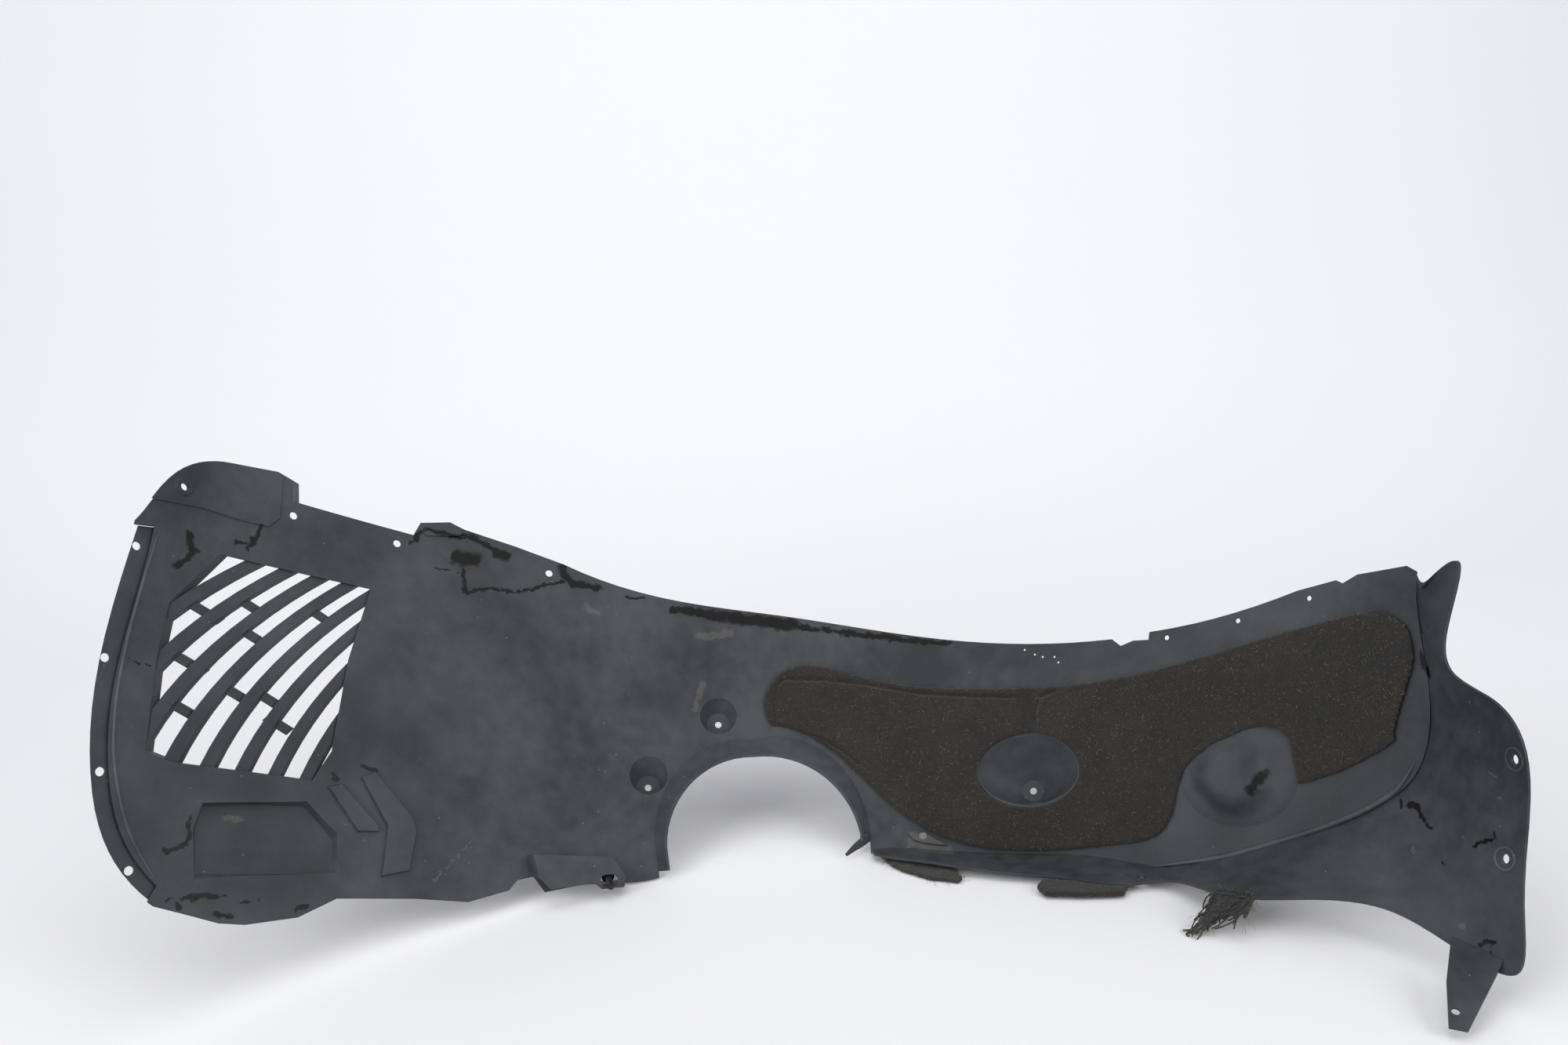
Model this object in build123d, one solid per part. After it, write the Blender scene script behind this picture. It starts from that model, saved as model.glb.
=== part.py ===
import math
import os

from build123d import *

# Wheel arch liner: a thin moulded shell that lines a car's wheel arch, with a felt pad on its wheel side.
# It is drawn with the wheel axis along Z: X runs along the arch from its front end to its rear end, Y points
# away from the wheel, and Z runs from the inner edge, with the strut cut-out, to the outer edge.
# At the end the whole liner is laid back as it rests on its inner edge.

# Driving dimensions in millimetres and degrees

# The arch surface: at each height it is two arcs that meet at the apex
wall = 2.4
apex_x = 20.0
apex_y = 10.0
apex_slope = 0.20
front_end_x = -600.0
front_end_y = -240.0
rear_end_x = 558.0
rear_end_y = -219.0
rest_lean = 25.0

# Vent with curved slats in the front panel
slat_count = 8
slat_step_x = 22.6
slat_step_z = -7.0
slat_width = 9.4
slat_depth = 7.0
slat_setback = 3.0
bridge_width = 8.0
bridge_depth = 3.0
vent_rim_depth = 11.0

# Strut cut-out and its turned lip
lip_depth = 18.0
lip_reach = 17.0

# Fixing recesses, cone and holes
recess_rim = 20.0
recess_seat = 12.5
recess_depth = 14.0
recess_drop = 9.0
low_recess_drop = 13.0
cone_width = 50.0
cone_height = 35.0
cone_seat = 11.0
cone_depth = 26.0
cone_drop = 22.0
fixing_hole = 3.6
flange_hole = 4.0
snap_hole = 2.5
tongue_hole = 3.2

# Stiffening forms
front_flange_step = 4.5
pocket_depth = 5.2
pocket_slope = 7.0
rib_height = 5.0
bracket_height = 22.0
return_flange = 12.0
bulge_x = 42.0
bulge_z = 38.0
bulge_height = 12.0
boss_base = 12.0
boss_top = 8.0
boss_height = 2.5
tab_rise = 1.6
draft = 18.0

# Felt pad and loose fleece
pad_thickness = 5.0
fleece_thickness = 3.0

# Push rivet
rivet_stem = 3.2
rivet_bore = 2.1
rivet_pin = 1.9
rivet_flange = 6.5
rivet_droop = 35.0
window_width = 18.0
window_height = 11.0

# Limits of the drawing, well clear of the liner's edges
band_low = -170.0
band_high = 460.0
front_limit = -640.0
rear_limit = 600.0
far = 700.0


# The arch surface

def arch_end(reach):
    return (front_end_x, front_end_y) if reach < apex_x else (rear_end_x, rear_end_y)


def arch_radius(reach, height):
    end_x, end_y = arch_end(reach)
    rise = apex_y + apex_slope * height - end_y
    run = abs(end_x - apex_x)
    return (run ** 2 + rise ** 2) / (2 * rise)


def arch_point(reach, height, depth=0.0):
    # depth is measured from the wheel face, away from the wheel
    radius = arch_radius(reach, height)
    centre_y = apex_y + apex_slope * height - radius
    turn = math.asin((reach - apex_x) / radius)
    offset = radius + depth
    return Vector(apex_x + offset * math.sin(turn), centre_y + offset * math.cos(turn), height)


def arch_strip(height, near, back):
    stations = (front_limit, (front_limit + apex_x) / 2, apex_x, (apex_x + rear_limit) / 2, rear_limit)
    near_points = [arch_point(reach, height, near) for reach in stations]
    back_points = [arch_point(reach, height, back) for reach in stations]
    edges = [
        ThreePointArc(*near_points[0:3]),
        ThreePointArc(*near_points[2:5]),
        Line(near_points[4], back_points[4]),
        ThreePointArc(*reversed(back_points[2:5])),
        ThreePointArc(*reversed(back_points[0:3])),
        Line(back_points[0], near_points[0]),
    ]
    return make_face(edges)


def band(near, back):
    # Everything between two depths of the arch surface
    return loft([arch_strip(band_low, near, back), arch_strip(band_high, near, back)], ruled=True)


def arch_plane(reach, height, depth=0.0, away=False):
    # Tangent plane of the arch, facing the wheel, or away from it
    along = arch_point(reach + 1, height) - arch_point(reach - 1, height)
    up = arch_point(reach, height + 1) - arch_point(reach, height - 1)
    normal = up.cross(along) if away else along.cross(up)
    return Plane(origin=arch_point(reach, height, depth), x_dir=along, z_dir=normal)


def prism(sketch):
    # A front view drawn in X and Z, run through the whole liner
    return extrude(Plane.XZ * sketch, amount=far, both=True)


def local_outline(plane, points):
    flat = [plane.to_local_coords(arch_point(*point)) for point in points]
    return make_face(Polyline(*[(spot.X, spot.Y) for spot in flat], close=True))


# Outlines in the front view

def liner_outline():
    top_edge = [(-247, 332), (-131, 287), (-8, 261), (164, 220), (333, 201)]
    ridge = [(561, 224), (557, 135), (553, 85), (536, 40), (506, 16), (423, -13), (342, -28)]
    bend = [(342, -28), (300, -19), (238, -12), (165, -6.6), (130, -3.6), (95, -1.3), (50, 0.2)]
    edges = [
        Spline((-591, 356), (-578, 388), (-560, 416), (-533, 423)),
        Polyline((-533, 423), (-503, 420), (-493, 413), (-492, 391), (-393, 363), (-387, 377), (-360, 379)),
        Polyline((-360, 379), (-346, 371), (-297, 353), (-247, 332)),
        Spline(*top_edge),
        Polyline((333, 201), (340, 193), (352, 197), (366, 196), (368, 204)),
        Spline((368, 204), (443, 213), (488, 225)),
        Polyline((488, 225), (514, 229), (518, 225), (528, 231), (556, 231), (561, 224)),
        Spline(*ridge),
        Spline(*bend),
        Polyline((50, 0.2), (-137, -6.4), (-153, -8)),
        Spline((-153, -8), (-168, -10), (-192, -10)),
        Polyline((-192, -10), (-229, -8), (-266, -12), (-277, 4), (-292, 2), (-300, -7), (-336, -14)),
        Polyline((-336, -14), (-381, -6), (-446, 2), (-475, -11), (-512, -12), (-530, -8), (-572, 13)),
        Spline((-572, 13), (-600, 60), (-612, 130), (-612, 190), (-603, 278), (-591, 356)),
    ]
    return make_face(edges)


def front_flange_outline():
    fold = [(-580, 352), (-587, 293), (-599, 200), (-600, 133), (-591, 74), (-570, 30)]
    edges = [
        Spline(*fold),
        Polyline((-570, 30), (-600, -40), (-660, -40), (-660, 352), (-580, 352)),
    ]
    return make_face(edges)


def felt_outline():
    edges = [
        Spline((-18, 195), (-6, 201), (72, 186), (200, 162), (320, 159), (463, 185), (533, 197)),
        Spline((533, 197), (547, 180), (543, 125), (530, 77)),
        Spline((530, 77), (495, 55), (462, 44)),
        Line((462, 44), (461, 86)),
        Spline((461, 86), (448, 99), (412, 90), (376, 64), (357, 18), (317, -4)),
        Spline((317, -4), (238, -7), (165, 3), (110, 31), (33, 110), (-29, 140)),
        Spline((-29, 140), (-36, 158), (-18, 195)),
    ]
    return make_face(edges)


def vent_outline():
    return make_face(Polyline(
        (-540, 331), (-428, 303), (-444, 229), (-454, 140), (-468, 113), (-563, 136),
        (-580, 147), (-576, 226), (-570, 281), close=True))


# Forms moulded into the shell. Each gives the solid that it adds and the solids that it takes away.

def widened(sketch, amount):
    return offset(sketch, amount=amount, kind=Kind.INTERSECTION)


def drafted(plane, outline, height):
    shrink = height * math.tan(math.radians(draft))
    return loft([plane * outline, plane.offset(height) * widened(outline, -shrink)], ruled=True)


def pressed(centre, points, depth):
    # A pocket with drafted walls, pushed away from the wheel; its floor slopes out to the lower edge
    lead = 4.0
    plane = arch_plane(*centre, depth=-lead, away=True)
    outline = local_outline(plane, points)
    shrink = (lead + depth) * math.tan(math.radians(draft))
    floor = plane.offset(lead + depth).rotated((-pocket_slope, 0, 0))
    under = plane.offset(lead + depth + wall).rotated((-pocket_slope, 0, 0))
    void = loft([plane * outline, floor * widened(outline, -shrink)], ruled=True)
    body = loft([plane * widened(outline, wall), under * widened(outline, wall - shrink)], ruled=True)
    return body & band(wall / 2, depth + 20.0), [void]


def raised(centre, points, height):
    # A hollow rib or block with drafted walls, raised towards the wheel
    lead = 6.0
    plane = arch_plane(*centre, depth=lead)
    outline = local_outline(plane, points)
    body = drafted(plane, outline, lead + height)
    void = drafted(plane, widened(outline, -wall), lead + height - wall)
    return body & band(-height - 20.0, wall / 2), [void]


def bracket():
    # A hollow block whose foot stands level with the inner edge
    lead = 6.0
    plane = arch_plane(-236, 0, depth=lead)
    base = local_outline(plane, [(-284, 26), (-200, 17), (-187, -3), (-189, -7), (-215, -7), (-223, -4),
                                 (-262, -5), (-276, 5)])
    roof = local_outline(plane, [(-279, 23), (-203, 14), (-190, -6), (-192, -16), (-214, -16), (-221, -10),
                                 (-262, -12), (-273, 3)])
    body = loft([plane * base, plane.offset(lead + bracket_height) * roof], ruled=True)
    inner_roof = plane.offset(lead + bracket_height - wall) * widened(roof, -wall)
    void = loft([plane * widened(base, -wall), inner_roof], ruled=True)
    return body & band(-bracket_height - 20.0, wall / 2), [void]


def cup(centre, rim, seat, drop, depth):
    # A hollow that narrows from its rim to a drilled seat; the seat sits lower than the rim
    lead = 3.0
    grow = 1 + lead / depth
    rim_x, rim_z = rim
    wide_x = seat + grow * (rim_x - seat)
    wide_z = seat + grow * (rim_z - seat)
    front = arch_plane(*centre, depth=-lead) * Pos(0, drop * lead / depth)
    floor = arch_plane(*centre, depth=depth) * Pos(0, -drop)
    under = arch_plane(*centre, depth=depth + wall) * Pos(0, -drop)
    void = loft([front * Ellipse(wide_x, wide_z), floor * Ellipse(seat, seat * 0.99)])
    rim_face = front * Ellipse(wide_x + wall, wide_z + wall)
    body = loft([rim_face, under * Ellipse(seat + wall, (seat + wall) * 0.99)])
    hole = extrude(floor * Circle(fixing_hole), amount=depth, both=True)
    return body & band(wall / 2, depth + 30.0), [void, hole]


def strut_outline(grow):
    # Arch-shaped cut-out, open towards the inner edge
    left = -101 - grow
    right = 99 + grow
    crown = 48 + grow
    foot = -150
    edges = [
        Line((left + 9, foot), (left, -38)),
        ThreePointArc((left, -38), (left + 34, crown - 18), (-6, crown)),
        ThreePointArc((-6, crown), (right - 28, crown - 30), (right, -40)),
        Line((right, -40), (right - 5, foot)),
        Line((right - 5, foot), (left + 9, foot)),
    ]
    return make_face(edges)


def strut_cone(grow):
    flare = lip_reach + 10.0
    base = arch_plane(-45, 60, depth=10.0)
    rim = arch_plane(-45, 60, depth=-lip_depth)
    return loft([base * strut_outline(flare + grow), rim * strut_outline(grow)], ruled=True)


def strut_lip():
    # The opening's edge is turned towards the wheel as a tapered lip
    lip = (strut_cone(wall) - strut_cone(0.0)) & band(-lip_depth - 10.0, wall * 0.8)
    feet = make_face(Polyline((-245, -8), (155, 20), (155, 240), (-245, 240), close=True))
    return lip & prism(feet)


def vent_grille():
    # Window with a rim behind it, crossed by curved slats that are tied by short set-back bridges
    window = vent_outline()
    inside = widened(window, wall / 2)
    rim = widened(window, wall) - widened(window, 0.3)
    slat_line = ThreePointArc((-418, 306), (-495, 227), (-551, 105))
    slat = make_face(offset(slat_line, amount=slat_width / 2, side=Side.BOTH))
    slats = Sketch() + [
        Pos(slat_step_x * number, slat_step_z * number) * slat for number in range(-4, slat_count - 4)
    ]
    bridges = [(-550, 274), (-558, 225), (-559, 181), (-521, 282), (-518, 252), (-528, 197), (-471, 275),
               (-507, 193), (-498, 168)]
    bridge = Rot(Z=50) * Rectangle(bridge_width, slat_step_x)
    ties = Sketch() + [Pos(x, z) * bridge for x, z in bridges]
    slat_back = slat_setback + slat_depth
    grille = prism(rim) & band(wall / 2, vent_rim_depth)
    grille = grille + (prism(slats & inside) & band(slat_setback, slat_back))
    grille = grille + (prism(ties & inside) & band(slat_back - bridge_depth, slat_back - 0.5))
    return grille


def dome(grow):
    lead = 4.0
    base = arch_plane(418, 55, depth=lead)
    top = base.offset(lead + bulge_height + grow)
    top_face = top * Ellipse(bulge_x * 0.55 + grow, bulge_z * 0.5 + grow)
    return loft([base * Ellipse(bulge_x + grow, bulge_z + grow), top_face])


def bulge():
    # A hollow dome towards the wheel with a hollow sunk into its rear flank
    mouth = arch_plane(440, 62, depth=-bulge_height - 4.0)
    floor = arch_plane(440, 62, depth=-0.4)
    under = arch_plane(440, 62, depth=wall - 0.4)
    sink_void = loft([mouth * Ellipse(20, 25), floor * Ellipse(14, 18)])
    sink_body = loft([mouth * Ellipse(20 + wall, 25 + wall), under * Ellipse(14 + wall, 18 + wall)])
    return dome(0.0) & band(-bulge_height - 20.0, wall / 2), [dome(-wall) - sink_body, sink_void]


def edge_sections():
    # A strip of wall thickness that turns from the arch's edge towards the wheel: a flange along the inner
    # edge, then a skirt that falls from the ridge and goes round the corner to the rear edge.
    # Each station is a point of the arch's edge and the strip's free edge there.
    stations = [
        (66, 3, (68, -8, 0)), (95, 3, (100, -25, -7)), (130, -1, (138, -41, -14)),
        (165, -5.5, (185, -58, -23)), (238, -11, (250, -76, -32)), (300, -18, (304, -92, -40)),
        (342, -28, (344, -98, -39)), (386, -22, (366, -150, -46)), (423, -13, (393, -177, -51)),
        (471, 2, (443, -195, -53)), (506, 16, (494, -216, -64)), (522, 28, (522, -250, -88)),
        (536, 40, (553, -293, -109)), (545, 58, (560, -304, -69)), (553, 85, (570, -308, -12)),
        (556, 110, (576, -320, 70)), (557, 135, (567, -303, 106)), (559, 170, (560, -258, 160)),
        (561, 222, (558, -236, 208)),
    ]
    starts = [arch_point(x, z, wall / 2) for x, z, edge in stations]
    ends = [Vector(*edge) for x, z, edge in stations]
    sections = []
    for number, (start, end) in enumerate(zip(starts, ends)):
        before = max(number - 1, 0)
        after = min(number + 1, len(stations) - 1)
        run = (starts[after] + ends[after]) - (starts[before] + ends[before])
        out = (end - start).normalized()
        side = run.cross(out).normalized() * (wall / 2)
        root = start - out * 1.0
        sections.append(make_face(Polyline(root + side, end + side, end - side, root - side, close=True)))
    return sections


def turned_edge():
    return loft(edge_sections())


def rear_tab():
    # A tongue that runs on from the skirt's lowest edge, with a hole near its tip
    rows = [((526, -252, -84), (549, -284, -100)), ((501, -284, -112), (529, -296, -117)),
            ((484, -312, -141), (497, -315, -144))]
    sections = []
    for number, row in enumerate(rows):
        left, right = [Vector(*point) for point in row]
        fore = sum((Vector(*point) for point in rows[max(number - 1, 0)]), Vector())
        aft = sum((Vector(*point) for point in rows[min(number + 1, 2)]), Vector())
        side = (right - left).cross(aft - fore).normalized() * (wall / 2)
        sections.append(make_face(Polyline(left + side, right + side, right - side, left - side, close=True)))
    tongue = loft(sections, ruled=True)
    hole = Plane(origin=(495, -304, -131), z_dir=Vector(28, -12, -5).cross(Vector(-31, -28, -39)))
    return tongue - extrude(hole * Circle(tongue_hole), amount=10.0, both=True)


def tab_face(outline):
    # The front tab is a raised plane
    region = make_face(Polyline(
        (-600, 381), (-579, 378), (-553, 375), (-529, 367), (-508, 362), (-500, 372), (-499, 440),
        (-600, 440), close=True))
    return prism(outline & region) & band(-tab_rise, wall / 2)


def tab_boss():
    # A low cone around the front tab's hole
    base = arch_plane(-565, 393, depth=wall / 2)
    return loft([base * Circle(boss_base), base.offset(wall / 2 + tab_rise + boss_height) * Circle(boss_top)])


def drills(spots, radius):
    return [extrude(arch_plane(x, z) * Circle(radius), amount=30.0, both=True) for x, z in spots]


def paired_drills(spots, facing):
    # Two parallel holes, square to the line between their centres
    first, second = spots
    line = (second - first).normalized()
    axis = facing - line * facing.dot(line)
    planes = [Plane(origin=spot, z_dir=axis) for spot in spots]
    return [extrude(plane * Circle(flange_hole), amount=20.0, both=True) for plane in planes]


def front_flange(outline, flange):
    # Set back from the panel by a step, with a riser between the two
    riser = (Pos(wall, 0) * flange - Pos(-1.0, 0) * flange) & outline
    plate_part = prism(flange & outline) & band(front_flange_step, front_flange_step + wall)
    return [plate_part, prism(riser) & band(wall / 2, front_flange_step + wall / 2)]


def liner_shell():
    outline = liner_outline()
    flange = front_flange_outline()
    shell = prism(outline - flange) & band(0.0, wall)
    shell = shell - [prism(vent_outline()), strut_cone(wall / 2)]
    top_strip = (outline - Pos(0, -wall) * outline) & Pos(-113, 310) * Rectangle(892, 250)
    rib = [(-434, 115), (-418, 121), (-384, 72), (-380, 57), (-386, 18), (-414, 15), (-410, 64)]
    channel = [(-388, 366), (-383, 374), (-352, 373), (-344, 367), (-351, 360), (-383, 360)]
    patch = [(102, 18), (113, 24), (131, 15), (147, 5), (150, 0), (138, 1), (122, 4), (110, 8)]
    forms = [
        pressed((-500, 66), [(-551, 99), (-472, 95), (-447, 62), (-446, 26), (-548, 30)], pocket_depth),
        raised((-440, 85), [(-461, 109), (-444, 110), (-412, 66), (-413, 57), (-433, 59)], rib_height),
        raised((-402, 66), rib, rib_height),
        raised((-367, 367), channel, boss_height),
        bracket(),
        raised((126, 11), patch, boss_height),
        cup((-86, 154), (recess_rim, recess_rim), recess_seat, recess_drop, recess_depth),
        cup((-162, 96), (recess_rim, recess_rim), recess_seat, low_recess_drop, recess_depth),
        cup((235, 73), (cone_width, cone_height), cone_seat, cone_drop, cone_depth),
        bulge(),
    ]
    flange_middle = front_flange_step + wall / 2
    front_pair = [arch_point(-604, 230, flange_middle), arch_point(-605, 131, flange_middle)]
    rear_pair = [Vector(574.9, -308, 57), Vector(562.2, -290, -21)]
    shell = shell + front_flange(outline, flange) + [turned_edge(), rear_tab()]
    added = [prism(top_strip) & band(wall / 2, return_flange), tab_face(outline), tab_boss(), strut_lip()]
    added = added + [vent_grille()]
    shell = shell + (added + [form[0] for form in forms])
    front_holes = [(-589, 333), (-587, 45), (-565, 393)]
    top_holes = [(-491, 376), (-407, 353), (-262, 322), (121, 14)]
    rear_holes = [(382, 196), (442, 204), (496, 216)]
    cuts = [solid for form in forms for solid in form[1]]
    cuts = cuts + drills(front_holes + top_holes, flange_hole) + drills(rear_holes, snap_hole)
    cuts = cuts + paired_drills(front_pair, arch_plane(-604.5, 180).z_dir)
    cuts = cuts + paired_drills(rear_pair, Vector(1, 0, 0))
    return shell - (cuts + [Pos(320, -82, -35) * Cylinder(flange_hole, 40)])


# The pieces that the shell carries

def fleece_pad():
    pad = prism(felt_outline()) & band(-pad_thickness, 0.0)
    rim = Ellipse(cone_width + 3.0, cone_height + 3.0)
    opening = extrude(arch_plane(235, 73) * rim, amount=30.0, both=True)
    return pad - opening - dome(0.5)


def rivet_axis():
    # The rivet lies in the bracket's window and droops out of it, towards the wheel
    roof = arch_plane(-236, 0, depth=-bracket_height)
    spot = roof.to_local_coords(arch_point(-206, -4.5, -bracket_height))
    window = Plane(origin=roof.from_local_coords((spot.X, spot.Y, 0)), x_dir=roof.x_dir, z_dir=roof.z_dir)
    tilt = math.radians(rivet_droop)
    sill = window.y_dir * (-window_height / 2 + (rivet_stem + 0.25) / math.cos(tilt))
    way = window.z_dir * math.cos(tilt) - window.y_dir * math.sin(tilt)
    return window, Plane(origin=window.origin + sill, x_dir=window.x_dir, z_dir=way)


def rod(axis, radius, low, high):
    return extrude(axis.offset(low) * Circle(radius), amount=high - low)


def rivet_sleeve(axis):
    sleeve = rod(axis, rivet_flange, -12.0, -10.0) + rod(axis, rivet_stem, -11.0, 11.0)
    slot = extrude(axis.offset(4.0) * Rectangle(1.4, 20.0), amount=20.0)
    return sleeve - rod(axis, rivet_bore, -20.0, 20.0) - slot


def rivet_pin_body(axis):
    return rod(axis, rivet_pin * 2.2, -13.8, -12.0) + rod(axis, rivet_pin, -13.0, 13.5)


def fleece_tuft():
    # A torn end of fleece that hangs from the skirt's edge
    left = Vector(366, -155, 22)
    right = Vector(393, -182, 28)
    tip = Vector(371, -196, 10)
    plane = Plane(origin=left, x_dir=right - left, z_dir=(right - left).cross(tip - left))
    torn = Polyline((-2, -5), (38, -5), (40, 12), (36, 20), (33, 15), (29, 24), (24, 19), (20, 27), (15, 22),
                    (9, 30), (5, 38), (-10, 46), (-4, 32), (0, 16), close=True)
    return extrude(plane * make_face(torn), amount=fleece_thickness / 2, both=True)


def floor_sheet(points, low, high):
    return extrude(Pos(0, 0, low) * make_face(Polyline(*points, close=True)), amount=high - low)


shell = liner_shell()
window, axis = rivet_axis()
shell = shell - extrude(window * SlotOverall(window_width, window_height), amount=8.0, both=True)

rest = Rot(X=-rest_lean)
edge_strip = rest * turned_edge()
strip_points = [(226, -76), (219, -88), (223, -102), (257, -109), (297, -112), (304, -100), (304, -92)]
flap_points = [(74, 3), (80, -14), (93, -33), (122, -55), (147, -63), (152, -56), (142, -30), (138, -8),
               (110, -1)]

pieces = {
    "liner_shell": rest * shell,
    "fleece_pad": rest * fleece_pad(),
    "push_rivet_sleeve": rest * rivet_sleeve(axis),
    "push_rivet_pin": rest * rivet_pin_body(axis),
    "foam_strip": floor_sheet(strip_points, -3.0, 2.6) - edge_strip,
    "fleece_flap": floor_sheet(flap_points, -5.6, -1.0) - edge_strip,
    "fleece_tuft": fleece_tuft() - edge_strip,
}
os.makedirs("parts", exist_ok=True)
boxes = [piece.bounding_box() for piece in pieces.values()]
middle_x = (min(box.min.X for box in boxes) + max(box.max.X for box in boxes)) / 2
middle_y = (min(box.min.Y for box in boxes) + max(box.max.Y for box in boxes)) / 2
lowest = min(box.min.Z for box in boxes)
for name, piece in pieces.items():
    export_step(Pos(-middle_x, -middle_y, -lowest) * piece, f"parts/{name}.step")
print("placed by", -middle_x, -middle_y, -lowest)
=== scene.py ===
import math
import random

import bmesh
import bpy
from mathutils import Matrix, Vector, noise
from mathutils.bvhtree import BVHTree
from mathutils.geometry import intersect_point_line


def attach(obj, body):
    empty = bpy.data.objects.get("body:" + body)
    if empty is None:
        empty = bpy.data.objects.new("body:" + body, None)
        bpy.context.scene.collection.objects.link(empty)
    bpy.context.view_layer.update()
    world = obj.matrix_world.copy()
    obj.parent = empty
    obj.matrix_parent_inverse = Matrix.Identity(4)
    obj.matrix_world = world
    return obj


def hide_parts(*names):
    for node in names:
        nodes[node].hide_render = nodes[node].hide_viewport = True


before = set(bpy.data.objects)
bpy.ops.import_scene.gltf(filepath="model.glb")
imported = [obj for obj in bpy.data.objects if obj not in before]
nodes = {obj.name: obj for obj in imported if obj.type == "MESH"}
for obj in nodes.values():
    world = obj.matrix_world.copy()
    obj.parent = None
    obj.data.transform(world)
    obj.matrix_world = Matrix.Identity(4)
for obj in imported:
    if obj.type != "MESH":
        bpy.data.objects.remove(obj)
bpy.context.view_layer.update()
print("frame loaded:", sorted(nodes))


# camera: stands before the wheel side, looks down a little and is rolled clockwise
cameraPlace = {
    "stand": (0.01741, -1.10635, 0.65592),  # metres
    "pitch": 13.74,  # degrees down
    "roll": 4.12,
    "focal": 1613.0,  # pixels of the 2000 x 1333 image
    "imageSize": (2000, 1333),
    "sensor": 36.0,
    "clipEnd": 50.0,
}


def makeCamera(place):
    pitch = math.radians(place["pitch"])
    roll = math.radians(place["roll"])
    ahead = Vector((0, math.cos(pitch), -math.sin(pitch)))
    level = Vector((1, 0, 0))
    above = Vector((0, math.sin(pitch), math.cos(pitch)))
    right = level * math.cos(roll) - above * math.sin(roll)
    up = level * math.sin(roll) + above * math.cos(roll)
    data = bpy.data.cameras.new("photoCamera")
    data.sensor_width = place["sensor"]
    data.lens = place["sensor"] * place["focal"] / place["imageSize"][0]
    data.clip_end = place["clipEnd"]
    camera = bpy.data.objects.new("photoCamera", data)
    bpy.context.scene.collection.objects.link(camera)
    turn = Matrix((right, up, -ahead)).transposed().to_4x4()
    camera.matrix_world = Matrix.Translation(place["stand"]) @ turn
    bpy.context.scene.camera = camera
    return camera


camera = makeCamera(cameraPlace)
print("camera placed")


# where a pixel of the photograph lands on a CAD node
def treeOf(node):
    mesh = node.data
    return BVHTree.FromPolygons([v.co for v in mesh.vertices], [tuple(p.vertices) for p in mesh.polygons])


shellTree = treeOf(nodes["liner_shell"])
padTree = treeOf(nodes["fleece_pad"])


def pixelRay(spot):
    wide, high = cameraPlace["imageSize"]
    return Vector((spot[0] - wide / 2, high / 2 - spot[1], -cameraPlace["focal"]))


def landing(spot, tree):
    # the point that is hit and its normal
    way = camera.matrix_world.to_3x3() @ pixelRay(spot).normalized()
    return tree.ray_cast(camera.matrix_world.translation, way)[:2]


def landedLine(spots, tree):
    hits = [landing(spot, tree)[0] for spot in spots]
    return [hit for hit in hits if hit]


def link(name, data):
    piece = bpy.data.objects.new(name, data)
    bpy.context.scene.collection.objects.link(piece)
    return piece


def smoothShade(mesh):
    for face in mesh.polygons:
        face.use_smooth = True


# material helpers: an sRGB hex value turned to linear, a node with its links, and the start of each material
def toLinear(code):
    parts = [int(code[i:i + 2], 16) / 255 for i in (1, 3, 5)]
    return tuple(c / 12.92 if c <= 0.04045 else ((c + 0.055) / 1.055) ** 2.4 for c in parts) + (1.0,)


def addNode(tree, kind, links=None, **settings):
    node = tree.nodes.new(kind)
    for name, value in settings.items():
        setattr(node, name, value)
    for socket, value in (links or {}).items():
        if isinstance(value, bpy.types.NodeSocket):
            tree.links.new(value, node.inputs[socket])
        else:
            node.inputs[socket].default_value = value
    return node


def startMaterial(name):
    material = bpy.data.materials.new(name)
    material.use_nodes = True
    tree = material.node_tree
    tree.nodes.clear()
    coords = addNode(tree, "ShaderNodeTexCoord").outputs["Object"]
    shader = addNode(tree, "ShaderNodeBsdfPrincipled")
    addNode(tree, "ShaderNodeOutputMaterial", {"Surface": shader.outputs["BSDF"]})
    return material, tree, coords, shader


# moulded polypropylene: a satin dark grey with a fine spark-eroded grain, rubbed edges painted paler as a
# painted highlight, a film of road dust with pale specks, places still black with water, painted shade under
# the lower edges, and pale painted light where light shows through small punctures
polypropylene = {
    "clean": "#2e2f32",
    "dusty": "#454649",
    "edge": "#525356",
    "speck": "#7d7c78",
    # near-black of water, used also for the painted shade under the lower edges and in the bulge's hollow
    "wetShadeTone": "#070708",
    "puncturePaleLight": "#d6d6d2",
    "scuff": "#7a7671",
    "filmSize": 0.11,  # metres, as all sizes here are
    "filmDetail": 6.0,
    "filmShare": 0.72,
    "mottleSize": 0.014,
    "mottleDetail": 4.0,
    "mottleShare": 0.28,
    "dustRange": (0.38, 0.64),  # noise from no dust to full dust
    "edgeRadius": 0.0009,
    "edgeSamples": 6,
    "edgeBend": (0.99, 0.86),  # from a flat face to a full edge
    "edgeAmount": 0.55,
    "speckSpacing": 0.013,
    "speckRange": (0.08, 0.03),  # of the spacing, from a speck's rim to its middle
    "speckBar": 0.62,  # cells above it hold a speck, about a third of them
    "speckAmount": 0.5,
    "wanderScale": 110.0,  # one wave in about 9 mm
    "wanderDetail": 3.0,
    "wetWander": 0.006,  # how far a wet mark's edge strays
    "wheelMiddle": (0.017, -0.25, 0.2),  # where the wheel would turn
    "scuffAmount": 0.2,
    "roughness": 0.5,
    "roughSpread": (-0.07, 0.09),
    "mottleRange": (0.3, 0.7),
    "wetRoughness": 0.42,
    "specular": 0.2,
    "ior": 1.49,
    "grain": 0.0016,  # between grains, coarser than the real 0.3 mm so that it shows
    "grainDetail": 2.0,
    "grainStrength": 0.25,
    "grainDepth": 0.0004,
}
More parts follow.
